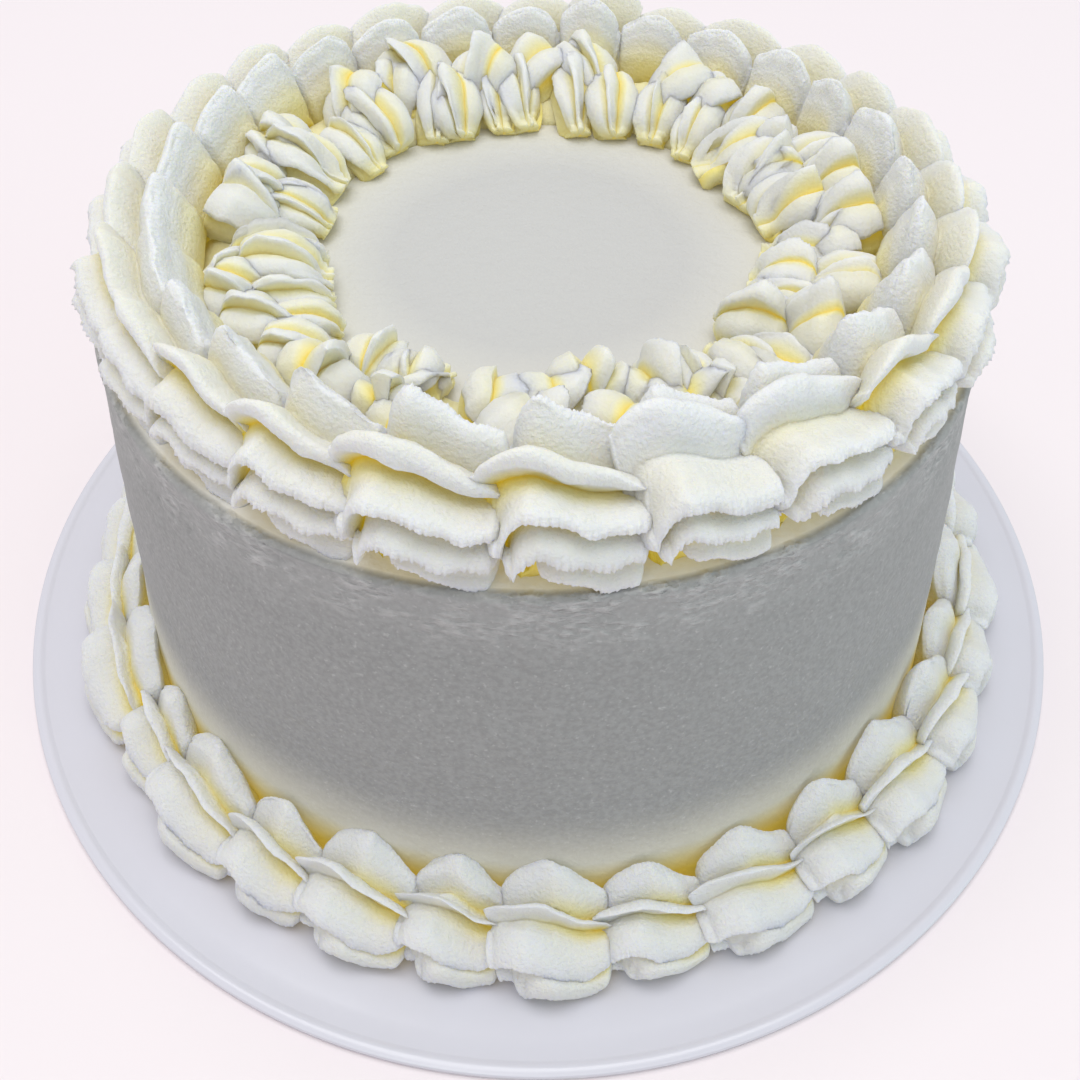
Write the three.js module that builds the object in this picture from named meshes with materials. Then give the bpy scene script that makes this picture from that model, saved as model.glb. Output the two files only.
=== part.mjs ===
// Round buttercream cake on a thin board, bordered with piped shells.
// Millimetres, +Z up. The origin is the middle of the board's underside, and the front faces -Y.
import * as THREE from 'three';
import { mergeVertices } from 'three/addons/utils/BufferGeometryUtils.js';

// Driving dimensions
const boardRadius = 134;
const boardThickness = 2.0;
const boardLipWidth = 3.2;
const boardLipRise = 0.5;
const boardEdgeRound = 0.7;
const cakeBaseRadius = 102.5;
const cakeTopRadius = 96.3;
const cakeHeight = 104.5;
const cakeEdgeRound = 3.0;
const gap = 0.3;
const roundSegments = 72;

// Inner border on top: a band of small upright petals round the smooth middle
const innerBorder = {
  count: 39,
  innerRadius: 47.2,
  outerRadius: 65.2,
  backWiden: 5, // the band is wider at the back, where the outer border is slimmer
  height: 12.5,
  stepsPerPetal: 4,
  wobble: 1.5,
};

// Outer border on top: arched shells, piped left to right as seen from the front
const topBorder = {
  name: 'top_shell',
  count: 26,
  firstAngle: -4.3, // degrees from the front to a joint between two shells
  frontStretch: 0.08, // shells are longer at the front than at the back by this share
  pathRadius: 81.5,
  ropeRadius: 13.5,
  frontSwell: 0.17, // and fatter at the front by this share
  crestShare: 0.66, // height of the rope's middle at the crest, as a share of its radius
  lowShare: 0.4,
  tailShare: 0.72,
  finAngles: [-30, -2, 22, 48, 104, 138, 172], // tips, from low outside over the top to low inside
  finReach: [0.95, 1, 1.02, 1, 1.08, 1, 0.9],
  rootShare: 0.52,
  unevenness: 0.06,
  stations: [0, 0.05, 0.16, 0.34, 0.58, 0.8, 1],
  innerLimit: innerBorder.outerRadius + gap,
  backWiden: innerBorder.backWiden,
  closingShell: 12, // the last one piped, at the back, stands taller
  closingSwell: 1.14,
};

// Border at the foot: smaller shells in the corner of wall and board
const footBorder = {
  name: 'foot_shell',
  count: 31,
  firstAngle: -3.5,
  frontStretch: -0.04,
  pathRadius: 108.5,
  ropeRadius: 10.4,
  frontSwell: 0.0,
  crestShare: 0.85,
  lowShare: 0.5,
  tailShare: 0.7,
  finAngles: [-22, 30, 86, 109, 150], // the fourth stands up against the wall
  finReach: [0.98, 0.92, 1.27, 1.55, 0.9],
  rootShare: 0.58,
  unevenness: 0.08,
  stations: [0, 0.08, 0.3, 0.62, 1],
  innerLimit: cakeBaseRadius + gap,
  backWiden: 0,
};

// Along every shell, as shares of its length
const crestPlace = 0.3;
const headShare = 0.5;
const headPlace = 0.015;
const tailPlace = 0.985;

const degree = Math.PI / 180;
const footWidthShare = 0.25;

const frontAngle = -90 * degree;
const cakeTop = boardThickness + cakeHeight;

// Even spread of numbers between 0 and 1, the same on each run
function draw(index, salt) {
  const wave = Math.sin(index * 12.9898 + salt * 78.233) * 43758.5453;
  return wave - Math.floor(wave);
}

function spread(index, salt, amount) {
  return 1 + amount * (2 * draw(index, salt) - 1);
}

// 0 at the front, 1 at the back
function atBack(angle) {
  return (1 - Math.cos(angle)) / 2;
}

// Steep rise to a crest at about three tenths of the way, then a long fall
function arch(share) {
  return Math.sin(Math.PI * Math.pow(share, 0.576));
}

// Girth of a shell along its length: round at the head, full at the crest, thin at the tail
function girth(share, tailShare) {
  if (share < crestPlace) {
    return headShare + (1 - headShare) * Math.sqrt(1 - Math.pow(1 - share / crestPlace, 2));
  }
  const past = (share - crestPlace) / (1 - crestPlace);
  return 1 - (1 - tailShare) * Math.pow(past, 1.4);
}

function solidOf(points, faces) {
  const geometry = new THREE.BufferGeometry();
  const positions = new Float32Array(points.flatMap((point) => [point.x, point.y, point.z]));
  geometry.setAttribute('position', new THREE.BufferAttribute(positions, 3));
  geometry.setIndex(faces);
  return geometry;
}

// A profile of radius and height turned about the upright axis, its seam and poles merged
function turned(profile) {
  const outline = profile.map(([r, z]) => new THREE.Vector2(r, z));
  const geometry = new THREE.LatheGeometry(outline, roundSegments);
  geometry.rotateX(Math.PI / 2);
  geometry.deleteAttribute('normal');
  geometry.deleteAttribute('uv');
  const merged = mergeVertices(geometry, 1e-4);
  const corners = Array.from(merged.index.array);
  const kept = [];
  for (let i = 0; i < corners.length; i += 3) {
    const [a, b, c] = corners.slice(i, i + 3);
    if (a !== b && b !== c && c !== a) {
      kept.push(a, b, c);
    }
  }
  merged.setIndex(kept);
  return merged;
}

// Flat disc with a low raised lip round its rim
function boardShape() {
  return turned([
    [0, 0],
    [boardRadius - boardEdgeRound, 0],
    [boardRadius, boardEdgeRound],
    [boardRadius, boardThickness],
    [boardRadius - boardLipWidth / 3, boardThickness + boardLipRise],
    [boardRadius - boardLipWidth, boardThickness],
    [0, boardThickness],
  ]);
}

// Cake under its icing: the wall leans in a little, and its upper edge is rounded
function cakeShape() {
  const profile = [[0, boardThickness + gap], [cakeBaseRadius, boardThickness + gap]];
  for (const angle of [0, 30, 60, 90]) {
    profile.push([
      cakeTopRadius - cakeEdgeRound * (1 - Math.cos(angle * degree)),
      cakeTop - cakeEdgeRound * (1 - Math.sin(angle * degree)),
    ]);
  }
  profile.push([0, cakeTop]);
  return turned(profile);
}

// Angle from the front of the joint before a shell
function jointAngle(border, index) {
  const even = (index / border.count) * 2 * Math.PI;
  const jitter = (0.1 * 2 * Math.PI) / border.count;
  const uneven = jitter * (2 * draw(index % border.count, 3) - 1);
  return even + border.frontStretch * Math.sin(even) + border.firstAngle * degree + uneven;
}

// A shell is a star of fins carried along an arch: up at the head, over the crest and down to the tail.
// Each star stands upright across the border.
function shellShape(border, index, floor) {
  const start = jointAngle(border, index);
  const pitch = jointAngle(border, index + 1) - start;
  const closing = index === border.closingShell ? border.closingSwell : 1;
  const size = border.ropeRadius * (1 + border.frontSwell * Math.cos(start + pitch / 2));
  const rope = size * closing * spread(index, 11, border.unevenness);
  const low = border.lowShare * rope;
  const rise = border.crestShare * rope - low;
  const stars = border.stations.map((share) => {
    const middle = {
      along: start + pitch * (headPlace + (tailPlace - headPlace) * share),
      radius: border.pathRadius * spread(index, 17, 0.008),
      height: floor + low + rise * arch(share),
    };
    return finStar(border, middle, floor, rope * girth(share, border.tailShare));
  });
  return closedSweep(stars);
}

// One star: a foot outside, then fin tips with a root between each two, and a foot inside.
// No point reaches below the floor or further in than the border's inner limit.
function finStar(border, middle, floor, ropeReach) {
  const turn = middle.along + frontAngle;
  const place = (across, up) => {
    const r = middle.radius + across;
    return new THREE.Vector3(r * Math.cos(turn), r * Math.sin(turn), middle.height + up);
  };
  const depth = middle.height - floor;
  const inward = middle.radius - border.innerLimit - atBack(middle.along) * border.backWiden;
  const footReach = footWidthShare * ropeReach;
  const limited = (angle, free) => {
    const toFloor = Math.sin(angle) < 0 ? depth / -Math.sin(angle) : Infinity;
    const toLimit = Math.cos(angle) < 0 ? inward / -Math.cos(angle) : Infinity;
    const reach = Math.min(free, toFloor, toLimit);
    return place(reach * Math.cos(angle), reach * Math.sin(angle));
  };
  const points = [place(footReach, -depth)];
  border.finAngles.forEach((fin, i) => {
    points.push(limited(fin * degree, ropeReach * border.finReach[i]));
    if (i + 1 < border.finAngles.length) {
      const between = (fin + border.finAngles[i + 1]) / 2;
      points.push(limited(between * degree, ropeReach * border.rootShare));
    }
  });
  points.push(place(-Math.min(footReach, inward), -depth));
  return { points, middle: place(0, 0) };
}

// Stars joined into a tube, its two ends closed to the middle of their star
function closedSweep(stars) {
  const around = stars[0].points.length;
  const last = stars.length - 1;
  const points = stars.flatMap((star) => star.points);
  const headMiddle = points.length;
  const tailMiddle = headMiddle + 1;
  points.push(stars[0].middle, stars[last].middle);
  const faces = [];
  for (let i = 0; i < around; i += 1) {
    const next = (i + 1) % around;
    faces.push(headMiddle, i, next);
    faces.push(tailMiddle, last * around + next, last * around + i);
    for (let level = 0; level < last; level += 1) {
      const a = level * around + i;
      const b = level * around + next;
      faces.push(a, a + around, b, b, a + around, b + around);
    }
  }
  return solidOf(points, faces);
}

// Band of petals: a closed ring whose crest rises and falls with each petal,
// in an inner and an outer row that are half a petal apart
function petalBand() {
  const columns = innerBorder.count * innerBorder.stepsPerPetal;
  const frontWidth = innerBorder.outerRadius - innerBorder.innerRadius;
  const across = [
    { share: 0.0, lift: 0.0, shift: 0 },
    { share: 0.1, lift: 0.6, shift: 0 },
    { share: 0.32, lift: 0.95, shift: 0 },
    { share: 0.5, lift: 0.62, shift: 0.25 },
    { share: 0.7, lift: 1.0, shift: 0.5 },
    { share: 0.96, lift: 0.7, shift: 0.5 },
    { share: 1.0, lift: 0.0, shift: 0.5 },
  ];
  const rows = across.length;
  const points = [];
  const faces = [];
  for (let column = 0; column < columns; column += 1) {
    const along = (column / columns) * 2 * Math.PI;
    const turn = along + frontAngle;
    const width = frontWidth + atBack(along) * innerBorder.backWiden;
    const after = (column + 1) % columns;
    across.forEach(({ share, lift, shift }, row) => {
      const place = column / innerBorder.stepsPerPetal + shift;
      const petal = Math.floor(place) % innerBorder.count;
      const swell = 0.42 + 0.58 * arch(place - Math.floor(place));
      const inset = share < 0.5 ? 2 * innerBorder.wobble * (1 - swell) * (1 - share) : 0;
      const r = innerBorder.innerRadius + share * width + inset;
      const rise = lift * innerBorder.height * swell * spread(petal, 23, 0.18);
      points.push(new THREE.Vector3(r * Math.cos(turn), r * Math.sin(turn), cakeTop + gap + rise));
      const next = (row + 1) % rows;
      const [a, b] = [column * rows + row, column * rows + next];
      const [c, d] = [after * rows + row, after * rows + next];
      faces.push(a, b, c, b, d, c);
    });
  }
  return solidOf(points, faces);
}

function creamMaterial() {
  return new THREE.MeshStandardMaterial({ color: 0xf4f0dc, roughness: 0.5, metalness: 0 });
}

function icingMaterial() {
  return new THREE.MeshStandardMaterial({ color: 0xe4e3e2, roughness: 0.6, metalness: 0 });
}

function boardMaterial() {
  return new THREE.MeshStandardMaterial({ color: 0xdddbe6, roughness: 0.25, metalness: 0 });
}

function named(name, geometry, material) {
  const mesh = new THREE.Mesh(geometry, material);
  mesh.name = name;
  return mesh;
}

function addShells(group, border, floor) {
  for (let index = 0; index < border.count; index += 1) {
    const name = `${border.name}_${String(index + 1).padStart(2, '0')}`;
    group.add(named(name, shellShape(border, index, floor + gap), creamMaterial()));
  }
}

const cake = new THREE.Group();
cake.add(named('cake_board', boardShape(), boardMaterial()));
cake.add(named('cake_body', cakeShape(), icingMaterial()));
cake.add(named('inner_border', petalBand(), creamMaterial()));
addShells(cake, topBorder, cakeTop);
addShells(cake, footBorder, boardThickness);

export default cake;
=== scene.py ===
# Round buttercream cake on a thin white board: piped shells at its foot and round its top edge,
# and a band of small petals round the smooth middle. Metres, with the front towards -Y.
import math

import bpy
import numpy as np
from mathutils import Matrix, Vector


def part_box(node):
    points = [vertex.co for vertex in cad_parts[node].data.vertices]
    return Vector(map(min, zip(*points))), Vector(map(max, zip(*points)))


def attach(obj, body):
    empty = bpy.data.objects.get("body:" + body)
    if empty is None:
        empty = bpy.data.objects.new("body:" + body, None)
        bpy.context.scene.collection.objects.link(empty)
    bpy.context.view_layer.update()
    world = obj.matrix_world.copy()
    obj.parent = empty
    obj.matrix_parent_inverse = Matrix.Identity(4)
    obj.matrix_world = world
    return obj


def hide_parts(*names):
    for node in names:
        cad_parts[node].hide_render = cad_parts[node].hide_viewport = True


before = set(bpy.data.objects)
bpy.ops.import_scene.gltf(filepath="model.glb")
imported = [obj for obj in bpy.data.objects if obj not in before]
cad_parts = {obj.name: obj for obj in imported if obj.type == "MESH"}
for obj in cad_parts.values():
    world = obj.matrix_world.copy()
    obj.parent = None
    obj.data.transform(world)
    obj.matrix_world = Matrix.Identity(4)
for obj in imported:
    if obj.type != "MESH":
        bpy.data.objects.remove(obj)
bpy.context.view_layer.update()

mm = 0.001
degree = math.pi / 180
frontAngle = -90 * degree
wholeTurn = 2 * math.pi

# Heights and radii of the solids, which the pieces below are fitted to
bodyLow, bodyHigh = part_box("cake_body")
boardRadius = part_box("cake_board")[1].x
cakeFloor = bodyLow.z
cakeTop = bodyHigh.z
cakeFootRadius = bodyHigh.x
boardTop = cakeFloor - 0.3 * mm
innermost = 1 * mm  # radius where a turned surface closes to a point
seedStep = 100  # more than the strokes of any border


# Even spread of numbers from 0 to 1: what is left of a fast sine wave after its whole part.
# The salt keeps one kind of draw apart from the others
def draw(index, salt):
    indexStep, saltStep, fastness = 12.9898, 78.233, 43758.5453
    return (np.sin(np.asarray(index) * indexStep + salt * saltStep) * fastness) % 1.0


# The same from -1 to 1
def swing(index, salt):
    return 2 * draw(index, salt) - 1


# A factor of 1, give or take the amount
def spread(index, salt, amount):
    return 1 + amount * swing(index, salt)


# Soft lumps from about -1 to 1: a sum of plane waves that run in random directions,
# each with a length near the given size
def lumps(points, size, seed):
    waves, shortest, longest = 18, 0.65, 1.5
    random = np.random.default_rng(seed)
    ways = random.normal(size=(waves, 3))
    ways /= np.linalg.norm(ways, axis=1, keepdims=True)
    lengths = size * random.uniform(shortest, longest, waves)
    phases = random.uniform(0, wholeTurn, waves)
    turns = points @ (ways * (wholeTurn / lengths)[:, None]).T + phases
    return np.sin(turns).sum(axis=-1) / math.sqrt(waves)


# 0 below the first value, 1 above the second, and a smooth step between them
def ease(value, first, second):
    share = np.clip((value - first) / (second - first), 0, 1)
    return share * share * (3 - 2 * share)


# Faces of a tube of rows by columns, its columns joined round, its ends closed to a middle point
def tubeFaces(rows, columns):
    row, column = np.meshgrid(np.arange(rows - 1), np.arange(columns), indexing="ij")
    after = (column + 1) % columns
    corners = [row * columns + column, (row + 1) * columns + column]
    corners += [(row + 1) * columns + after, row * columns + after]
    quads = np.stack(corners, axis=-1).reshape(-1, 4)
    around = np.arange(columns)
    following = (around + 1) % columns
    headMiddle = np.full(columns, rows * columns)
    lastRow = (rows - 1) * columns
    head = np.stack([headMiddle, around, following], axis=-1)
    tail = np.stack([headMiddle + 1, lastRow + following, lastRow + around], axis=-1)
    return quads, np.concatenate([head, tail])


# The points of a tube in one list, with the middle of its first and its last row at the end
def withMiddles(grid):
    return np.concatenate([grid.reshape(-1, 3), grid[:1].mean(axis=1), grid[-1:].mean(axis=1)])


def addObject(name, data):
    thing = bpy.data.objects.new(name, data)
    bpy.context.scene.collection.objects.link(thing)
    return thing


# A mesh object from arrays of points, quads and triangles, and a share of painted light and shade
# for each point
def addPiece(name, points, quads, triangles, crevice, finish, slot, node):
    mesh = bpy.data.meshes.new(name)
    corners = np.concatenate([quads.ravel(), triangles.ravel()])
    quadStarts = 4 * np.arange(len(quads))
    triangleStarts = 4 * len(quads) + 3 * np.arange(len(triangles))
    mesh.vertices.add(len(points))
    mesh.loops.add(len(corners))
    mesh.polygons.add(len(quads) + len(triangles))
    mesh.vertices.foreach_set("co", points.astype(np.float32).ravel())
    mesh.loops.foreach_set("vertex_index", corners.astype(np.int32))
    starts = np.concatenate([quadStarts, triangleStarts])
    mesh.polygons.foreach_set("loop_start", starts.astype(np.int32))
    mesh.update(calc_edges=True)
    mesh.shade_smooth()
    shade = mesh.attributes.new("crevice", "FLOAT", "POINT")
    shade.data.foreach_set("value", crevice.astype(np.float32))
    mesh.materials.append(finish)
    piece = addObject(name, mesh)
    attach(piece, "root")
    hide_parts(node)
    return piece


# Distance along the stroke and across it, for the streaks that the nozzle leaves
def addFlow(piece, flow):
    attribute = piece.data.attributes.new("flow", "FLOAT_VECTOR", "POINT")
    attribute.data.foreach_set("vector", flow.astype(np.float32).ravel())


# A wire is a socket that can stand in a sum: each operator adds a Math node behind it
class Wire:
    def __init__(self, finish, socket):
        self.finish = finish
        self.socket = socket

    def math(self, operation, first, second):
        return self.finish.add("Math", {"operation": operation}, {0: first, 1: second})

    def __add__(self, other):
        return self.math("ADD", self, other)

    def __radd__(self, other):
        return self.math("ADD", other, self)

    def __sub__(self, other):
        return self.math("SUBTRACT", self, other)

    def __rsub__(self, other):
        return self.math("SUBTRACT", other, self)

    def __mul__(self, other):
        return self.math("MULTIPLY", self, other)

    def __rmul__(self, other):
        return self.math("MULTIPLY", other, self)


# Places of the colour sockets on a Mix node, whose names aren't single
firstColour, secondColour, mixedColour = 6, 7, 2


# A finish is a material under construction
class Finish:
    def __init__(self, name):
        self.material = bpy.data.materials.new(name)
        self.material.use_nodes = True
        self.material.cycles.emission_sampling = "NONE"  # its glow is too faint to be a lamp
        self.nodes = self.material.node_tree.nodes
        self.links = self.material.node_tree.links
        self.nodes.clear()

    # Puts in a node: its type, its settings, then the values or wires of its sockets
    def add(self, kind, settings, sockets, output=0):
        node = self.nodes.new("ShaderNode" + kind)
        for name, value in settings.items():
            if name == "stops":
                self.setStops(node.color_ramp, value)
            else:
                setattr(node, name, value)
        for name, value in sockets.items():
            if isinstance(value, Wire):
                self.links.new(value.socket, node.inputs[name])
            else:
                node.inputs[name].default_value = value
        return Wire(self, node.outputs[output])

    def setStops(self, ramp, stops):
        while len(ramp.elements) < len(stops):
            ramp.elements.new(0.5)
        for element, (place, colour) in zip(ramp.elements, stops):
            element.position = place
            element.color = (*colour, 1)

    # Object coordinates, in metres
    def place(self):
        return self.add("TexCoord", {}, {}, "Object")

    # How far a place lies from the upright axis
    def radius(self, place):
        flat = self.add("VectorMath", {"operation": "MULTIPLY"}, {0: place, 1: (1, 1, 0)})
        return self.add("VectorMath", {"operation": "LENGTH"}, {0: flat}, "Value")

    # A noise with so many finer layers on its lumps, of one size or a size for each axis
    def noise(self, size, layers, place):
        if isinstance(size, tuple):
            scale = tuple(1 / length for length in size)
            place = self.add("VectorMath", {"operation": "MULTIPLY"}, {0: place, 1: scale})
            size = 1
        sockets = {"Vector": place, "Scale": 1 / size, "Detail": layers}
        return self.add("TexNoise", {}, sockets, "Fac")

    # 0 up to the first limit and 1 from the second on
    def rise(self, value, limits):
        first, second = limits
        return self.add("MapRange", {}, {"Value": value, "From Min": first, "From Max": second})

    def ramp(self, factor, stops):
        return self.add("ValToRGB", {"stops": stops}, {"Fac": factor}, "Color")

    def mix(self, factor, *colours):
        first, second = [c if isinstance(c, Wire) else (*c, 1) for c in colours]
        sockets = {"Factor": factor, firstColour: first, secondColour: second}
        return self.add("Mix", {"data_type": "RGBA"}, sockets, mixedColour)

    # Relief from a height of 0 to 1, as deep as given, on a finer relief if there is one
    def bump(self, height, depth, finer=None):
        sockets = {"Height": height, "Distance": depth}
        if finer is not None:
            sockets["Normal"] = finer
        return self.add("Bump", {}, sockets)

    def close(self, sockets):
        surface = self.add("BsdfPrincipled", {}, sockets)
        output = self.nodes.new("ShaderNodeOutputMaterial")
        self.links.new(surface.socket, output.inputs["Surface"])
        return self.material


# Camera
cameraPlan = {
    "place": (0, -0.2280, 0.2796),
    "pitchDown": 42.893,  # degrees below level
    "frameSide": 1080,  # pixels
    "focalLength": 1290.3,  # pixels
    "opticalCentre": (538.2, 380.0),  # pixels from the left and from the top
    "sensor": 36,  # millimetres
    "nearest": 10 * mm,
}


def setCamera(plan):
    data = bpy.data.cameras.new("view")
    side = plan["frameSide"]
    data.sensor_width = plan["sensor"]
    data.lens = plan["sensor"] * plan["focalLength"] / side
    data.shift_x = (side / 2 - plan["opticalCentre"][0]) / side
    data.shift_y = (plan["opticalCentre"][1] - side / 2) / side
    data.clip_start = plan["nearest"]
    camera = addObject("view", data)
    camera.location = plan["place"]
    camera.rotation_euler = ((90 - plan["pitchDown"]) * degree, 0, 0)
    bpy.context.scene.camera = camera


setCamera(cameraPlan)
print("camera placed")

strokeStep = 0.01  # keeps the streaks of one stroke clear of the next one's

# Piped cream
creamLook = {
    "stops": [  # colour from the open surface to the deepest groove; the golden colour there is painted shade and painted light shining through the cream
        (0.0, (0.744, 0.753, 0.758)),
        (0.12, (0.725, 0.730, 0.721)),
        (0.32, (0.735, 0.721, 0.642)),
        (0.62, (0.744, 0.679, 0.353)),
        (1.0, (0.707, 0.530, 0.037)),
    ],
    "glow": [  # painted glow, standing in for light that comes through the cream in its crevices
        (0.3, (0, 0, 0)),
        (0.7, (0.05, 0.038, 0.006)),
        (1.0, (0.24, 0.17, 0.0)),
    ],
    "grain": (0.75 * mm, 2),  # size of its lumps and finer layers, as in every such pair
    "grainDepth": 0.46 * mm,
    "streaks": ((0.9 * mm, 2.6 * mm, strokeStep), 1),  # along the stroke, across it, to the next
    "streakDepth": 0.1 * mm,
    "patches": (9 * mm, 1),
    "patchTint": 0.12,  # how far the patches shift the painted golden shade
    "roughness": (0.52, 0.7),
    "gloss": 0.35,
    "scatter": 0.6,
    "scatterReach": 4.0 * mm,
    "scatterColour": (1.0, 0.9, 0.55),  # share of that reach for red, green and blue light
}

# The petals of the inner band are smoother and greyer, and their painted golden shade in the grooves
# is stronger and starts sooner
softCreamLook = {
    **creamLook,
    "stops": [
        (0.0, (0.698, 0.702, 0.684)),
        (0.12, (0.702, 0.698, 0.651)),
        (0.32, (0.725, 0.702, 0.530)),
        (0.62, (0.744, 0.679, 0.335)),
        (1.0, (0.707, 0.530, 0.037)),
    ],
    "grainDepth": 0.2 * mm,
}


def creamFinish(name, look):
    finish = Finish(name)
    place = finish.place()
    crevice = finish.add("Attribute", {"attribute_name": "crevice"}, {}, "Fac")
    flow = finish.add("Attribute", {"attribute_name": "flow"}, {}, "Vector")
    grain = finish.noise(*look["grain"], place)
    streak = finish.noise(*look["streaks"], flow)
    patch = finish.noise(*look["patches"], place)
    # The attribute is the share of painted golden shade and glow, deepest in the grooves
    depth = crevice + (patch - 0.5) * look["patchTint"]
    low, high = look["roughness"]
    return finish.close({
        "Base Color": finish.ramp(depth, look["stops"]),
        "Roughness": low + (high - low) * grain,
        "Emission Color": finish.ramp(depth, look["glow"]),
        "Emission Strength": 1.0,
        "Specular IOR Level": look["gloss"],
        "Subsurface Weight": look["scatter"],
        "Subsurface Radius": look["scatterColour"],
        "Subsurface Scale": look["scatterReach"],
        "Normal": finish.bump(streak, look["streakDepth"], finish.bump(grain, look["grainDepth"])),
    })


# Smooth icing on the wall and the top
icingLook = {
    "turn": (93.2 * mm, 94.4 * mm),  # radii between which the top becomes the wall
    "top": (0.522, 0.516, 0.497),
    "topEdge": (0.60, 0.592, 0.555),  # the top where it meets the band, painted lighter against the band's shade
    "topEdgeRadii": (32 * mm, 48 * mm),
    "topEdgeGlow": (0.035, 0.033, 0.022),
    "rim": (0.76, 0.75, 0.72),  # the top's outer part, painted lighter with a painted glow, against the shade the border casts on it
    "rimRadii": (78 * mm, 86 * mm),
    "rimGlow": (0.08, 0.075, 0.055),
    "wall": ((0.284, 0.287, 0.276), (0.336, 0.34, 0.328)),  # mottled between these, both darkened by painted shade on the upright wall
    "mottle": (1.1 * mm, 2),
    "mottleLimits": (0.36, 0.64),  # nearer together makes it harder
    "upperWall": (0.50, 0.495, 0.48),  # what the wall turns to under the border, where its painted shade is lighter
    "upperShare": 0.22,  # and how far
    # the lower wall, painted lighter and yellower for the light of the cream beside it
    "foot": (0.58, 0.565, 0.48),
    "footGlow": (0.19, 0.178, 0.135),  # painted glow for the light that the cream at the foot throws on the wall
    "gold": (0.64, 0.50, 0.10),  # painted golden shade and glow at its lowest part, between the shells' tips
    "goldGlow": (0.16, 0.125, 0.02),
    "goldHeights": (25 * mm, 15 * mm),  # from none of the painted golden shade to all of it
    "roughness": (0.5, 0.62),
    "pits": (3.0 * mm, 2),
    "pitDepth": 0.35 * mm,
    "grain": (0.9 * mm, 1),
    "grainDepth": 0.14 * mm,
    "scuffs": ((2.6 * mm, 2.6 * mm, 1.1 * mm), 3),  # smears, the last size up the wall
    "scuffLimits": (0.4, 0.85),
    "scuffPatches": ((9 * mm, 9 * mm, 6 * mm), 1),  # there are smears only in these
    "scuffPatchLimits": (0.42, 0.58),
    "scuffDepth": 0.8 * mm,
    "scuffBand": (cakeTop - 18 * mm, cakeTop - 4 * mm),  # heights from none to all of it
    # painted highlights on the smears, where the torn icing catches the light
    "scuffHighlight": (0.68, 0.675, 0.655),
    "flecks": (0.9 * mm, 2),  # in the same painted highlight colour, all over the wall
    "fleckLimits": (0.62, 0.74),
    "fleckStrength": 0.3,
}


def icingFinish(look):
    finish = Finish("smooth icing")
    place = finish.place()
    crevice = finish.add("Attribute", {"attribute_name": "crevice"}, {}, "Fac")
    height = finish.add("SeparateXYZ", {}, {"Vector": place}, "Z")
    radius = finish.radius(place)
    upper = 1 - finish.rise(radius, look["turn"])

    # Relief: pits and grain all over, and torn smears high on the wall
    pits = finish.noise(*look["pits"], place)
    grain = finish.noise(*look["grain"], place)
    relief = finish.bump(pits, look["pitDepth"], finish.bump(grain, look["grainDepth"]))
    patch = finish.rise(finish.noise(*look["scuffPatches"], place), look["scuffPatchLimits"])
    smears = finish.rise(finish.noise(*look["scuffs"], place), look["scuffLimits"])
    band = finish.rise(height, look["scuffBand"]) * (1 - upper)
    torn = smears * patch * band

    # Wall: darkened by painted shade, mottled, lighter under the border, with painted highlights on
    # its flecks and smears
    flecks = finish.rise(finish.noise(*look["flecks"], place), look["fleckLimits"])
    mottle = finish.rise(finish.noise(*look["mottle"], place), look["mottleLimits"])
    wall = finish.mix(mottle, *look["wall"])
    wall = finish.mix(band * look["upperShare"], wall, look["upperWall"])
    wall = finish.mix(flecks * look["fleckStrength"], wall, look["scuffHighlight"])
    wall = finish.mix(torn, wall, look["scuffHighlight"])

    # Top: painted light where it meets the band and the border
    rim = finish.rise(radius, look["rimRadii"]) * upper
    edge = finish.rise(radius, look["topEdgeRadii"]) * upper
    top = finish.mix(edge, look["top"], look["topEdge"])
    top = finish.mix(rim, top, look["rim"])
    plain = finish.mix(upper, wall, top)

    # Foot: painted light from the cream that lies against it
    gold = finish.rise(height, look["goldHeights"])
    foot = finish.mix(gold, look["foot"], look["gold"])
    footGlow = finish.mix(gold, look["footGlow"], look["goldGlow"])
    glow = finish.mix(crevice, (0, 0, 0), footGlow)
    glow = finish.mix(edge, glow, look["topEdgeGlow"])
    smooth, rough = look["roughness"]
    return finish.close({
        "Base Color": finish.mix(crevice, plain, foot),
        "Emission Color": finish.mix(rim, glow, look["rimGlow"]),
        "Emission Strength": 1.0,
        "Roughness": smooth + (rough - smooth) * pits,
        "Normal": finish.bump(torn, look["scuffDepth"], relief),
    })


# Board
boardLook = {
    "colour": (0.655, 0.643, 0.695),
    "roughness": 0.16,
    "dullness": 0.1,  # how much rougher it is in patches
    "patches": (30 * mm, 3),
    "grain": (1.6 * mm, 2),
    "grainDepth": 0.01 * mm,
}


def boardFinish(look):
    finish = Finish("glossy board")
    place = finish.place()
    patch = finish.noise(*look["patches"], place)
    grain = finish.noise(*look["grain"], place)
    return finish.close({
        "Base Color": (*look["colour"], 1),
        "Roughness": look["roughness"] + look["dullness"] * patch,
        "Normal": finish.bump(grain, look["grainDepth"]),
    })


cream = creamFinish("buttercream", creamLook)
softCream = creamFinish("soft buttercream", softCreamLook)
icing = icingFinish(icingLook)
boardCoat = boardFinish(boardLook)
print("finishes made")


# A profile of radius and height turned about the upright axis, as a grid of rows by columns
def turned(radii, heights, columns):
    turn = -wholeTurn * np.arange(columns) / columns
    x = radii[:, None] * np.cos(turn)
    y = radii[:, None] * np.sin(turn)
    z = np.repeat(heights[:, None], columns, axis=1)
    return np.stack([x, y, z], axis=-1)


# Points along a line of corners, so many for each stretch
def along(corners, counts):
    pieces = []
    for first, last, count in zip(corners, corners[1:], counts):
        share = np.arange(count) / count
        pieces.append(first + (last - first) * share)
    return np.concatenate(pieces + [corners[-1:]])


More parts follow.
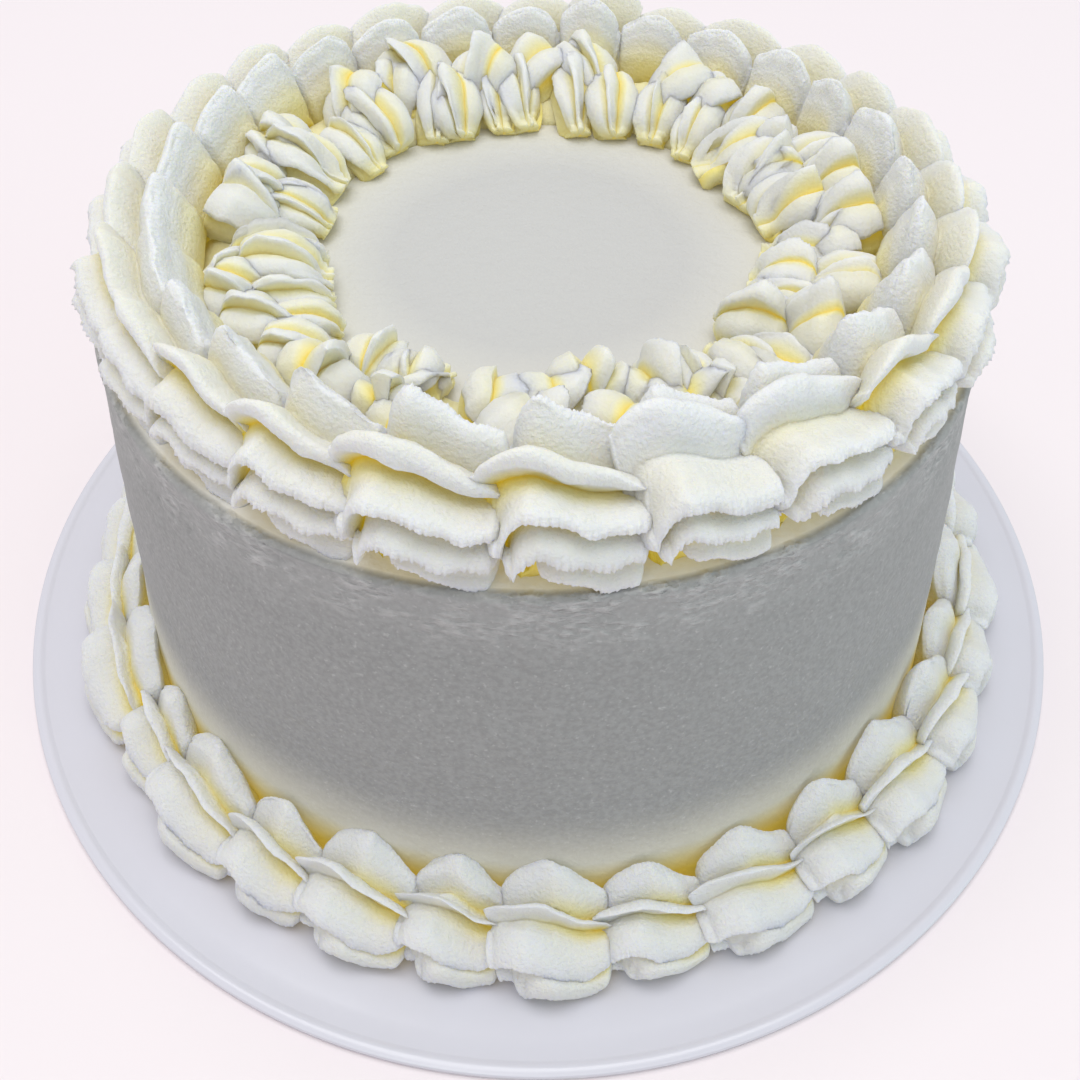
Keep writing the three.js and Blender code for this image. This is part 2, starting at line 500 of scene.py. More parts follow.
boardPlan = {
    "underRadius": 133.3 * mm,
    "underRise": 0.7 * mm,
    "lipWidth": 3.2 * mm,
    "lipRise": 0.5 * mm,
    "lipPower": 1.3,  # above 1, the lip's feet run out softly
    "underRows": (12, 3),
    "lipRows": 14,
    "topRows": 30,
    "columns": 360,
}


# Flat disc. Its rim rolls up in half a sine wave, lip wide and lip rise high
def makeBoard(plan):
    underside = [innermost, plan["underRadius"], boardRadius]
    underRadii = along(np.array(underside), plan["underRows"])
    underHeights = along(np.array([0, 0, plan["underRise"]]), plan["underRows"])
    roll = np.linspace(0, 1, plan["lipRows"])
    rollRadii = boardRadius - plan["lipWidth"] * roll
    bead = boardTop + plan["lipRise"] * np.sin(math.pi * roll) ** plan["lipPower"]
    flat = np.linspace(boardRadius - plan["lipWidth"], innermost, plan["topRows"])[1:]
    radii = np.concatenate([underRadii, rollRadii, flat])
    heights = np.concatenate([underHeights, bead, np.full(len(flat), boardTop)])
    grid = turned(radii, heights, plan["columns"])
    points = withMiddles(grid)
    faces = tubeFaces(*grid.shape[:2])
    addPiece("board", points, *faces, np.zeros(len(points)), boardCoat, "board", "cake_board")


bodyPlan = {
    "topRadius": 95.2 * mm,
    "edgeRound": 1.4 * mm,
    "underRows": 12,
    "wallRows": 90,
    "wallCrowding": 0.6,  # below 1, rows lie closer together higher up the wall
    "edgeRows": 13,
    "topRows": 50,
    "columns": 560,
    "wave": (0.25 * mm, 38 * mm, 5),  # how far the surface swings, over what size, and its seed
    "ripple": (0.08 * mm, 9 * mm, 6),
    "topShare": 0.3,  # of both, on the flat top
    "stillHeight": 5 * mm,  # both fade out over this much at the foot
    "scuff": 0.35 * mm,  # depth of the torn places under the upper edge
    "scuffHeights": (cakeTop - 24 * mm, cakeTop - 9 * mm),
    "scuffSize": (4.5 * mm, 7),  # size and seed
    "scuffFlatness": 1.6,  # they are this much wider than high
    "scuffPatch": (26 * mm, 8),
    "scuffPatchLimits": (-0.2, 0.7),
    "lip": 0.5 * mm,  # how far the upper edge stands out, over the given heights
    "lipHeights": (cakeTop - 5 * mm, cakeTop - 1.5 * mm),
    "glowHeights": (13 * mm, 44 * mm),  # the painted light of the cream on the wall fades between these
    "sideGlow": 50 * mm,  # and up to here at the sides and the back
}


# Wall, rounded upper edge and flat top in one turned surface: the wall leans in evenly, and the
# edge is a quarter circle. Lumps push it in and out, and a band under the upper edge is torn in
def makeBody(plan):
    edge = plan["edgeRound"]
    wallTop = cakeTop - edge
    bend = np.linspace(0, 90, plan["edgeRows"])[1:] * degree
    rise = np.linspace(0, 1, plan["wallRows"])[1:] ** plan["wallCrowding"]
    radii = [np.linspace(innermost, cakeFootRadius, plan["underRows"])]
    radii.append(cakeFootRadius + (plan["topRadius"] - cakeFootRadius) * rise)
    radii.append(plan["topRadius"] - edge * (1 - np.cos(bend)))
    radii.append(np.linspace(plan["topRadius"] - edge, innermost, plan["topRows"])[1:])
    heights = [np.full(plan["underRows"], cakeFloor), cakeFloor + (wallTop - cakeFloor) * rise]
    heights.append(wallTop + edge * np.sin(bend))
    heights.append(np.full(plan["topRows"] - 1, cakeTop))
    radii, heights = np.concatenate(radii), np.concatenate(heights)
    wallOnly = plan["topRadius"] - 2 * edge  # radius beyond which there is only wall and edge
    radii = radii + plan["lip"] * ease(heights, *plan["lipHeights"]) * (radii > wallOnly)
    grid = turned(radii, heights, plan["columns"])
    points = withMiddles(grid)

    height = points[:, 2]
    radius = np.maximum(np.hypot(points[:, 0], points[:, 1]), innermost)
    free = ease(height, cakeFloor, cakeFloor + plan["stillHeight"])
    scuffed = ease(height, *plan["scuffHeights"]) * (radius > wallOnly)
    (wave, waveSize, waveSeed), (ripple, rippleSize, rippleSeed) = plan["wave"], plan["ripple"]
    push = wave * lumps(points, waveSize, waveSeed) + ripple * lumps(points, rippleSize, rippleSeed)
    torn = np.abs(lumps(points * (1, 1, plan["scuffFlatness"]), *plan["scuffSize"]))
    torn = torn * ease(lumps(points, *plan["scuffPatch"]), *plan["scuffPatchLimits"])
    push = push - plan["scuff"] * scuffed * torn
    onWall = height <= cakeTop - edge / 2
    outward = np.zeros_like(points)
    outward[:, :2] = points[:, :2] / radius[:, None] * onWall[:, None]
    outward[:, 2] = ~onWall
    push = push * np.where(onWall, 1.0, plan["topShare"])
    points = points + outward * (push * free)[:, None]

    # Share of that painted light, fading out higher up at the sides and the back than at the front
    front = np.clip(-points[:, 1] / radius, 0, 1)
    low, high = plan["glowHeights"]
    glow = 1 - ease(height, low, plan["sideGlow"] + (high - plan["sideGlow"]) * front)
    faces = tubeFaces(*grid.shape[:2])
    addPiece("icing", points, *faces, glow, icing, "smooth_icing", "cake_body")


makeBoard(boardPlan)
makeBody(bodyPlan)
print("board and iced cake made")

# Star that the cream is piped with. Shares of the length count along the shell
star = {
    "shoulderDroop": 0.4,  # share of a fin's droop that its face's far edge takes
    "lag": 12,  # degrees that the groove beneath a fin lies lower at the head
    "swell": 0.05,  # how far a face bulges, as a share of the rope's radius
    "paintedEdgeGold": 0.3,  # share of a fin's painted golden shade at the far edge of its face
    "paintedFarEdgeGold": 0.2,  # and at the near edge of a far fin's face
    "hidden": 0.24,  # share of its reach that a fin lacks before its start
    "thinning": 0.012,  # share of its reach that this edge loses for each degree it slides
    "blunt": 1.1,  # above 1, a fin's rise starts less steeply
    "fade": 1.4,  # above 1, its reach falls later after the crest
    "furthest": 1.1,  # and no more past this share of the way from the crest to the tail
    "archPower": 0.6,  # below 1, a face keeps its width along more of the shell
    "droopPower": 1.3,  # above 1, the droop is deepest nearer the tail
    "waverLength": 11 * mm,  # a fin's edge sways over this length
    "waver": 1.2,  # by so many degrees
    "cleanHead": 0.06,  # share of the length over which it starts to be torn
    "leanShare": 0.3,  # share of the length over which the head's lean fades
    "leanPower": 1.3,
    "headEnd": 0.015,  # shares of the length that round off each end
    "tailEnd": 0.09,
    "jointShare": 0.1,  # and that gets painted golden shade at the tail
    "headStub": 0.2,  # shares of its thickness that the rope has at its very ends
    "tailStub": 0.35,
    "rowCrowding": 1.35,  # above 1, rows lie closer together at the head
    "tipCrowding": 1.6,  # and columns at the fins' tips
}
fineColumns = {"under": 4, "face": 8, "groove": 3, "valley": 6, "foot": 6}
coarseColumns = {"under": 2, "face": 4, "groove": 2, "valley": 3, "foot": 4}

# What a fin has unless its own line says otherwise. 0 degrees is the shell's open side, 90 up
plainFin = {
    "start": 0.0,  # where along the shell it starts
    "soft": 0.05,  # how softly
    "crest": 0.2,  # how soon after its start it crests
    "head": 0.85,  # its reach at the head, as a share of its full one
    "tail": 0.84,  # and at the tail
    "ragged": 1.0,  # how torn its edge is
    "droop": 0,  # degrees that it droops halfway
    "dip": 1,  # share of the head's dip that it takes
    "slope": 0.87,  # how far its face reaches at the far side, as a share of the tip's reach
    "gold": 1.0,  # how deep its painted golden shade is
    "slide": 0,  # degrees by which its face narrows at both ends
    "undercut": 4,  # degrees that the groove beneath it lies further back
}


# One fin: its tip's angle in degrees, its reach as a share of the rope's radius, the width of
# its face in degrees, and what it has of its own
def fin(angle, reach, face, **own):
    blade = {**plainFin, "angle": angle, "reach": reach, "face": face, **own}
    return {**blade, "crest": blade["start"] + blade["crest"]}


# Corners of the star, from low outside over the top to low inside. Open fins hang over
# the groove beneath them, and far fins the other way round
def starCorners(plan):
    count = plan["columns"]
    corners = []

    def put(angle, reach, paintedTint, columns, blade, tip=0, swell=0, lag=0, slide=0):
        place = {"angle": angle, "reach": reach, "paintedTint": paintedTint, "columns": columns}
        corners.append({**blade, **place, "tip": tip, "swell": swell, "lag": lag, "slide": slide})

    plain = fin(0, 0, 0, head=1, tail=1, ragged=0, dip=plan["footDip"])
    put(plan["footAngle"], plan["footReach"], plan["paintedFootGold"], count["groove"], plain)
    for blade in plan["openFins"]:
        tip, reach = blade["angle"], blade["reach"]
        under = tip + blade["undercut"]
        put(under, plan["root"], blade["gold"], count["under"], blade, lag=star["lag"])
        put(tip, reach, 0, count["face"], blade, 1, star["swell"])
        shoulder = {**blade, "droop": star["shoulderDroop"] * blade["droop"]}
        far = reach * blade["slope"]
        edge = star["paintedEdgeGold"] * blade["gold"]
        put(tip + blade["face"], far, edge, count["groove"], shoulder, slide=blade["slide"])
    corners[-1]["columns"] = count["valley"]
    first, last = plan["farFins"][0], plan["farFins"][-1]
    put(plan["valleyAngle"], plan["valleyReach"], plan["paintedValleyGold"], count["valley"], first)
    for blade in plan["farFins"]:
        tip, reach = blade["angle"], blade["reach"]
        near = reach * blade["slope"]
        edge = star["paintedFarEdgeGold"] * blade["gold"]
        put(tip - blade["face"], near, edge, count["face"], blade, 0, star["swell"])
        put(tip, reach, 0, count["under"], blade, 1)
        if blade is not last or not plan["farSide"]:
            under = tip - blade["undercut"]
            put(under, plan["root"], blade["gold"], count["groove"], blade, lag=-star["lag"])
    for angle, reach, gold in plan["farSide"]:
        put(angle, reach, gold, count["groove"], last)
    put(plan["farFootAngle"], plan["footReach"], plan["paintedFootGold"], count["foot"], plain)
    return corners


# What both rings of shells have
shellRing = {
    "jointStray": 0.1,  # share of a shell's length that a joint strays
    "pathSpread": 0.008,  # share of the ring's radius that a shell strays
    "root": 0.62,  # reach of the grooves beneath the fins
    "tailLean": 4,  # degrees that the star leans forward at the tail
    "paintedLowGold": 0,  # painted golden shade at the rope's floor, which fades out as high as given next
    "lowHeight": 1 * mm,
    "columns": fineColumns,
    "seed": 11,
}

topBorder = {
    **shellRing,
    "node": "top_shell",
    "count": 26,
    "firstAngle": -4.3,  # degrees from the front to a joint between two shells
    "frontStretch": 0.08,  # shells are longer at the front by this share
    "pathRadius": 81.5 * mm,
    "wallSink": None,  # it doesn't lie against the wall
    "ropeRadius": 13.8 * mm,
    "frontSwell": 0.15,  # shells are fatter at the front by this share
    "backShrink": 0.13,  # leaner right at the back
    "unevenness": 0.05,  # and one or the other at random
    "headHeight": 0.22,  # of the rope's middle at the head, as a share of its radius
    "crestHeight": 0.74,
    "tailHeight": 0.50,
    "footAngle": -58,
    "footReach": 0.88,
    "footDip": 1,
    "openFins": [
        fin(-32, 0.98, 12, start=0.36, soft=0.07, crest=0.12, head=0.95, tail=0.94, dip=0,
            ragged=1.6),
        fin(0, 1.04, 15, start=0.17, soft=0.07, crest=0.16, head=0.97, dip=0.55, slope=0.79,
            ragged=1.5),
        fin(25, 1.04, 16, start=0.12, soft=0.07, crest=0.15, head=1.0, tail=0.86, ragged=1.4),
        fin(57, 1.0, 12, start=0.03, soft=0.1, crest=0.22, head=0.9, tail=0.8, dip=0.35, slope=1.1,
            slide=9, ragged=0.5),
    ],
    "valleyAngle": 84,
    "valleyReach": 0.53,
    # painted golden shade in the valley, at the joints and at the foot
    "paintedValleyGold": 0.5,
    "paintedJointGold": 0.7,
    "paintedFootGold": 0.9,
    "paintedTintAlong": (1.0, 0.7),  # share of the painted golden shade at the head and at the tail
    "farFins": [fin(106, 1.08, 9, start=0.17, crest=0.14, ragged=1.3, gold=0.7)],
    "farSide": [(118, 0.84, 0.14), (145, 0.68, 0.5), (185, 0.72, 0.75)],  # angle, reach and painted golden shade
    "farFootAngle": 230,
    "backCrest": 0.2,  # at the back the fins crest later by this share of the length
    "stray": 2.4,  # degrees that each corner of the star strays
    "strayReach": 0.04,  # and the share of its reach
    "strayStart": 0.02,  # the most that a fin starts late
    "headLean": 15,  # degrees that the star leans back at the head
    "headTwist": 2,  # degrees that the star turns inwards at the head
    "tailTwist": -4,
    "sideTwist": 5,  # and more at the right of the cake, less at the left
    "tailOver": 0.09,  # how far it runs on under the next shell, as a share of its length
    "rows": 120,
    # Shells unlike the rest, by place in the ring: size, and degrees that the last open fin stands
    # up. The one at the back was piped last and closes the ring
    "unlike": {1: (1.08, 27), 2: (1.0, 20), 12: (1.14, 0)},
}

footBorder = {
    **shellRing,
    "node": "foot_shell",
    "count": 31,
    "firstAngle": -3.5,
    "frontStretch": -0.04,
    "pathRadius": 108.5 * mm,
    "wallSink": 0.5 * mm,  # it goes no deeper into the wall than this
    "ropeRadius": 10.4 * mm,
    "frontSwell": 0,
    "backShrink": 0,
    "unevenness": 0.08,
    "headHeight": 0.4,
    "crestHeight": 0.86,
    "tailHeight": 0.5,
    "footAngle": -62,
    "footReach": 0.95,
    "footDip": 0.5,
    "openFins": [
        fin(-8, 1.18, 18, start=0.22, soft=0.1, crest=0.25, tail=0.75, droop=20, ragged=0.7),
        fin(31, 1.05, 30, start=0.06, soft=0.08, head=0.98, tail=0.79, droop=22, dip=0.95,
            ragged=0.7),
        fin(78, 1.22, 12, crest=0.3, head=0.9, tail=0.8, dip=0.5, slide=8, ragged=0.3, gold=0.8),
    ],
    "valleyAngle": 93,
    "valleyReach": 0.86,
    # painted golden shade in the valley, at the joints and at the foot
    "paintedValleyGold": 0.78,
    "paintedJointGold": 0.8,
    "paintedFootGold": 0.3,
    "paintedTintAlong": (0.3, 1.25),
    "farFins": [
        fin(115, 1.62, 12, start=0.06, soft=0.1, crest=0.42, head=0.5, tail=0.72, dip=0.4,
            ragged=0.4),
    ],
    "farSide": [(127, 1.2, 0.6), (160, 0.9, 0.7)],
    "farFootAngle": 235,
    "backCrest": 0,
    "stray": 4,
    "strayReach": 0.05,
    "strayStart": 0.04,
    "headLean": 20,
    "headTwist": 6,
    "tailTwist": -8,
    "sideTwist": 0,
    "tailOver": 0.03,
    "rows": 76,
    "unlike": {},
}

# Inner band: petals in two rows on a low ring, piped outwards from the smooth middle
innerBand = {
    "count": 34,
    "rowRadii": (48.2 * mm, 58.5 * mm),  # where the petals of each row start
    "lengths": (15 * mm, 13 * mm),
    "ropeRadii": (7.2 * mm, 8.0 * mm),
    "backLength": 5 * mm,  # longer at the back by this much
    "stagger": 0.5,  # share of a petal's place by which the second row is turned
    "placeStray": 0.3,  # and by which each petal strays
    "headHeight": 0.2,
    "crestHeight": 0.75,
    "tailHeight": 0.85,
    "root": 0.7,
    "footAngle": -55,
    "footReach": 0.9,
    "footDip": 1,
    "openFins": [
        fin(14, 1.0, 56, start=0.02, crest=0.4, head=0.6, tail=0.72, slope=0.95, ragged=0.8),
    ],
    "valleyAngle": 82,
    "valleyReach": 0.8,
    # painted golden shade in the valley, at the joints, at the foot and low on the petals
    "paintedValleyGold": 0.95,
    "paintedJointGold": 0.5,
    "paintedFootGold": 0.3,
    "paintedTintAlong": (0.8, 1.0),
    "paintedLowGold": 0.7,
    "lowHeight": 9 * mm,
    "farFins": [
        fin(110, 1.36, 14, start=0.05, crest=0.5, head=0.5, tail=0.7, ragged=0.8, gold=0.8),
        fin(168, 1.02, 42, crest=0.4, head=0.6, tail=0.75, slope=0.95, ragged=0.5, gold=0.8),
    ],
    "farSide": [],
    "farFootAngle": 235,
    "columns": coarseColumns,
    "stray": 8,
    "strayReach": 0.16,
    "strayStart": 0.2,
    "headLean": 30,
    "tailLean": -16,
    "headTwist": 0,
    "tailTwist": 0,
    "tailOver": 0,
    "rows": 32,
    "seed": 61,
    "sizeSpread": 0.22,
    "lengthSpread": 0.25,
    "skews": (30, 55),  # degrees that a petal strays from straight outwards, in each row
    "strayHead": 2.2 * mm,  # how far its start strays
    "roll": 28,  # degrees that it is rolled to one side
    "ringRadius": 63 * mm,
    "ringWidth": 11 * mm,
    "ringHeight": 5.5 * mm,
    "ringUnder": -0.1,  # its flat underside, as a share of its height
    "ringLumps": (0.7 * mm, 7 * mm, 71),  # how high they are, their size and seed
    "ringLumpWays": (0.4, 0.4, 0.8),
    # painted golden shade, which shows in the gaps between the petals in place of their shade
    "paintedRingTint": 0.5,
    "ringColumns": 300,
    "ringRows": 14,
}


# Angle from the front of the joint before a shell
def jointAngle(plan, index):
    count = plan["count"]
    even = index / count * wholeTurn
    uneven = plan["jointStray"] * wholeTurn / count * swing(index % count, 3)
    return even + plan["frontStretch"] * math.sin(even) + plan["firstAngle"] * degree + uneven


# A quarter ellipse: 0 before the first value, then a steep rise that rounds off to 1 at the second
def quarter(value, first, second):
    return np.sqrt(1 - np.clip((second - value) / (second - first), 0, 1) ** 2)


# A fall from 0 before the first value to 1 at 1. It starts softly, is steepest early and levels out,
# or as far as it is rounded, it steepens to the end as a square
def fall(value, first, rounded):
    softness, levelling = 1.2, 2.4
    past = np.clip((value - first) / (1 - first), 0, 1)
    return (1 - rounded) * (1 - (1 - past ** softness) ** levelling) + rounded * past ** 2


# Length and height of a torn edge's waves in millimetres, and whether they are folded into teeth
tearWaves = ((6.3, 0.30, False), (2.3, 0.34, True), (1.3, 0.30, True), (0.7, 0.16, True))


# Torn edge along a fin, in metres: a sum of those sine waves, each started at random
def tear(distance, number, blade):
    edge = np.zeros(np.broadcast(distance, blade).shape)
    for length, height, folded in tearWaves:
        start = wholeTurn * draw(number * 7 + blade, length)
        wave = np.sin(distance * wholeTurn / (length * mm) + start)
        edge += height * mm * (-np.abs(wave) if folded else wave)
    return edge


# Where the columns of the star lie between its corners, closer together towards each tip
def columnPlaces(corners):
    crowding = star["tipCrowding"]
    places = []
    for index, (first, second) in enumerate(zip(corners, corners[1:])):
        share = np.arange(first["columns"]) / first["columns"]
        if first["tip"]:
            share = share ** crowding
        if second["tip"]:
            share = 1 - (1 - share) ** crowding
        places.append(index + share)
    return np.concatenate([*places, [len(corners) - 1]])


# A star carried along an arch. A share s of the way along, its middle is at s * length, at a
# height that rises as a quarter ellipse to the crest and falls to the tail, each fin in its own
# time. A star point of angle a and reach g lies g*cos(a) to the side and g*sin(a) up from there,
# leaned back by lean(s). Gives forward, side, up, painted golden shade and the flow along and across
# the surface
def pipedStroke(plan, number, rope, length, twist=0, rounded=0):
    corners = starCorners(plan)
    order = np.arange(len(corners))
    places = columnPlaces(corners)

    def read(name):
        return np.interp(places, order, [corner[name] for corner in corners])[None, :]

    # What varies round the star: a value for each column
    strayAngle = np.interp(places, order, plan["stray"] * swing(number * 17 + order, 23))
    strayReach = np.interp(places, order, spread(number * 17 + order, 29, plan["strayReach"]))
    blade = np.interp(places, order, np.cumsum([corner["tip"] for corner in corners])).round()
    swell = np.array([corner["swell"] for corner in corners])[places.astype(int)]
    swell = swell * np.abs(np.sin(math.pi * places))
    delay = plan["strayStart"] * draw(number * 13 + blade, 37)
    head, tail = read("head"), read("tail")
    start, crest = read("start") + delay, read("crest") + delay

    # Thickness along the stroke, where each row has its share of the way
    share = (np.linspace(0, 1, plan["rows"]) ** star["rowCrowding"])[:, None]
    place = share * (1 + plan["tailOver"])
    distance = place * length
    risen = quarter(place, start, crest) ** star["blunt"]
    past = np.clip((place - crest) / (1 - crest), 0, star["furthest"])
    grown = head + (1 - head) * risen - (1 - tail) * past ** star["fade"]
    opened = 1 - star["hidden"] * (1 - quarter(place, start - read("soft"), start))
    headRound = star["headStub"] + (1 - star["headStub"]) * quarter(share, 0, star["headEnd"])
    tailRound = star["tailStub"] + (1 - star["tailStub"]) * quarter(1 - share, 0, star["tailEnd"])
    size = rope * grown * opened * (headRound * tailRound)

    # Angle and reach of each point of the star
    within = np.clip(place, 0, 1)
    arch = np.sin(math.pi * within) ** star["archPower"]
    swayStart = wholeTurn * draw(number * 5 + blade, 31)
    waver = star["waver"] * np.sin(distance / star["waverLength"] * wholeTurn + swayStart)
    turnedBy = plan["headTwist"] + (plan["tailTwist"] - plan["headTwist"]) * place + twist
    hung = read("droop") * np.sin(math.pi * within ** star["droopPower"])
    hung = hung + read("lag") * (1 - risen) + read("slide") * (1 - arch)
    angle = (read("angle") - hung + strayAngle + waver + turnedBy) * degree
    thinned = 1 - star["thinning"] * read("slide") * (1 - arch)
    reach = (read("reach") * strayReach * thinned + swell) * size
    torn = tear(distance, number, blade) * read("tip") ** 3 * read("ragged")
    reach = reach + torn * ease(share, 0, star["cleanHead"])

    # Height of the star's middle, and its lean
    crestHeight = plan["crestHeight"]
    low = np.where(place < crest, plan["headHeight"], plan["tailHeight"])
    height = np.where(place < crest, risen, 1 - fall(place, crest, rounded))
    low = np.where(place < crest, crestHeight + (low - crestHeight) * read("dip"), low)
    middle = (low + (crestHeight - low) * height) * rope
    early = np.clip(1 - place / star["leanShare"], 0, 1)
    lean = (plan["headLean"] * early ** star["leanPower"] - plan["tailLean"] * past) * degree
    upwards = reach * np.sin(angle)
    forward = distance - upwards * np.sin(lean)
    up = middle + upwards * np.cos(lean)
    side = reach * np.cos(angle)

    # Painted golden shade and glow in the grooves, at the joint and near the floor
    paintedTint = read("paintedTint") * np.interp(place, (0, 1), plan["paintedTintAlong"])
    atTail = 1 - quarter(1 - share, 0, star["jointShare"])
    joint = plan["paintedJointGold"] * atTail * (1 - read("tip"))
    deep = plan["paintedLowGold"] * (1 - ease(up, 0, plan["lowHeight"]))
    paintedTint = np.clip(np.maximum(np.maximum(paintedTint, joint), deep), 0, 1)
    across = reach * read("angle") * degree
    apart = np.full_like(across, number * strokeStep)
    flow = np.stack([distance + 0 * across, across, apart], axis=-1)
    return forward, side, up, paintedTint, flow


# How a piped stroke lies on its floor
lie = {
    "sunk": -0.4 * mm,  # what would lie below this is pressed flat
    "flattened": 0.02,  # to this share of its depth
    "lumps": ((0.15 * mm, 5 * mm, 41), (0.05 * mm, 1.7 * mm, 42)),  # height, size and seed
    "lumpWays": (0.5, 0.5, 0.7),
    "paintedEndTint": 0.9,  # painted golden shade at the middle point of each end
}


# Fine unevenness, and what lies below the floor pressed flat on it
def settled(x, y, up, floor, paintedTint, flow):
    sunk = lie["sunk"]
    up = np.where(up < sunk, sunk + lie["flattened"] * (up - sunk), up)
    grid = np.stack([x, y, floor + up], axis=-1)
    points = withMiddles(grid)
    rough = sum(height * lumps(points, size, seed) for height, size, seed in lie["lumps"])
    points = points + rough[:, None] * np.array(lie["lumpWays"])
    paintedTint = np.concatenate([paintedTint.ravel(), [lie["paintedEndTint"]] * 2])
    return points, *tubeFaces(*grid.shape[:2]), paintedTint, withMiddles(flow)


# What changes for each degree that the last open fin stands up
lifting = {
    "undercut": -0.5,  # degrees that the groove beneath it lies further back
    "gold": -0.025,  # share of its painted golden shade
    "behind": 0.45,  # degrees that the fin behind it turns back
    "valley": 0.7,  # and the valley between them
}


# The same star with its last open fin stood up, and the valley and the fin behind it pushed back
def lifted(plan, lift):
    *lower, last = plan["openFins"]
    behind, *rest = plan["farFins"]
    changes = {"gold": 1 + lifting["gold"] * lift, "undercut": lifting["undercut"] * lift}
    raised = {**last, "angle": last["angle"] + lift, **changes}
    pushed = {**behind, "angle": behind["angle"] + lifting["behind"] * lift}
    valley = plan["valleyAngle"] + lifting["valley"] * lift
    fins = {"openFins": [*lower, raised], "farFins": [pushed, *rest]}
    return {**plan, **fins, "valleyAngle": valley}


# The same star with all its fins cresting later
def slowed(plan, amount):
    later = {}
    for side in ("openFins", "farFins"):
        later[side] = [{**blade, "crest": blade["crest"] + amount} for blade in plan[side]]
    return {**plan, **later}


# The wall leans in evenly from its foot to its upper edge
def wallRadius(height):
    share = (height - cakeFloor) / (cakeTop - cakeFloor)
    return cakeFootRadius - (cakeFootRadius - bodyPlan["topRadius"]) * share


# One shell of a ring: forward runs round the ring, and its open side is the outer one
def ringShell(plan, index, floor):
    start = jointAngle(plan, index)
    pitch = jointAngle(plan, index + 1) - start
    middle = start + pitch / 2
    swell, lift = plan["unlike"].get(index, (1, 0))
    back = (1 - math.cos(middle)) / 2
    rope = plan["ropeRadius"] * (1 + plan["frontSwell"] * math.cos(middle)) * swell
    rope = rope * (1 - plan["backShrink"] * back ** 3)
    rope = rope * spread(index, 11, plan["unevenness"])
    path = plan["pathRadius"] * spread(index, 17, plan["pathSpread"])
    number = index + seedStep * plan["seed"]
    twist = plan["sideTwist"] * math.sin(middle) + plan["stray"] * swing(index, 19)
    shape = slowed(lifted(plan, lift) if lift else plan, plan["backCrest"] * back)
    forward, side, up, paintedTint, flow = pipedStroke(shape, number, rope, pitch * path, twist, back)
    turn = start + forward / path + frontAngle
    radius = path + side
    if plan["wallSink"] is not None:
        radius = np.maximum(radius, wallRadius(floor + up) - plan["wallSink"])
    return settled(radius * np.cos(turn), radius * np.sin(turn), up, floor, paintedTint, flow)


# One petal of the inner band: forward runs outwards, its open side to the right
def bandPetal(plan, index, floor):
    row, place = divmod(index, plan["count"])
    number = index + seedStep * plan["seed"]
    stagger = plan["stagger"] * row + plan["placeStray"] * swing(index, 51)
    turn = (place + stagger) / plan["count"] * wholeTurn + frontAngle
    back = (1 + math.sin(turn)) / 2
    rope = plan["ropeRadii"][row] * spread(index, 53, plan["sizeSpread"])
    length = plan["lengths"][row] * spread(index, 55, plan["lengthSpread"])
    length = length + plan["backLength"] * back
    roll = plan["roll"] * swing(index, 63)
    forward, side, up, paintedTint, flow = pipedStroke(plan, number, rope, length, roll)
    skew = plan["skews"][row] * degree * swing(index, 57)
    start = plan["rowRadii"][row] + plan["strayHead"] * swing(index, 59)
    outwards = start + forward * math.cos(skew) + side * math.sin(skew)
    across = -side * math.cos(skew) + forward * math.sin(skew)
    x = outwards * math.cos(turn) - across * math.sin(turn)
    y = outwards * math.sin(turn) + across * math.cos(turn)
    return settled(x, y, up, floor, paintedTint, flow)


# The low ring under the band: half an ellipse, as wide and as high as given, turned about the
# upright axis, lumpy, with its underside flat in the icing
# Its painted golden shade fills the gaps between the petals
def bandRing(plan, floor):
    rows, columns = plan["ringRows"], plan["ringColumns"]
    turn = np.linspace(0, wholeTurn, columns, endpoint=False)[None, :]
    around = np.linspace(0, wholeTurn, rows, endpoint=False)[:, None]
    radius = plan["ringRadius"] + plan["ringWidth"] * np.cos(around) + 0 * turn
    up = np.maximum(np.sin(around), plan["ringUnder"]) * plan["ringHeight"] + 0 * turn
    points = np.stack([radius * np.cos(turn), radius * np.sin(turn), floor + up], axis=-1)
    height, size, seed = plan["ringLumps"]
    bumps = (lumps(points, size, seed) * height)[..., None]
    points = (points + bumps * np.array(plan["ringLumpWays"])).reshape(-1, 3)
    row, column = np.meshgrid(np.arange(rows), np.arange(columns), indexing="ij")
    below, after = (row + 1) % rows, (column + 1) % columns
    corners = [row * columns + column, row * columns + after]
    corners += [below * columns + after, below * columns + column]
    quads = np.stack(corners, axis=-1).reshape(-1, 4)
    paintedTint = np.full(len(points), plan["paintedRingTint"])
    return points, quads, np.zeros((0, 3), int), paintedTint, points * (1, 1, 0)


def makeBorder(plan, floor):
    for index in range(plan["count"]):
        node = f"{plan['node']}_{index + 1:02d}"
        *shape, flow = ringShell(plan, index, floor)
        piece = addPiece("piped_" + node, *shape, cream, "piped_cream", node)
        addFlow(piece, flow)


# All the petals of the inner band in one mesh with their ring
def makeBand(plan, floor):
    shapes = [bandRing(plan, floor)]
    shapes += [bandPetal(plan, index, floor) for index in range(2 * plan["count"])]
    points, quads, triangles, paintedTint, flow = zip(*shapes)
    before = np.cumsum([0] + [len(part) for part in points])
    quads = [part + start for part, start in zip(quads, before)]
    triangles = [part + start for part, start in zip(triangles, before)]
    joined = [np.concatenate(parts) for parts in (points, quads, triangles, paintedTint)]
    piece = addPiece("piped_band", *joined, softCream, "piped_cream", "inner_border")
    addFlow(piece, np.concatenate(flow))


makeBorder(topBorder, cakeTop)
makeBorder(footBorder, boardTop)
makeBand(innerBand, cakeTop)
print("borders piped")

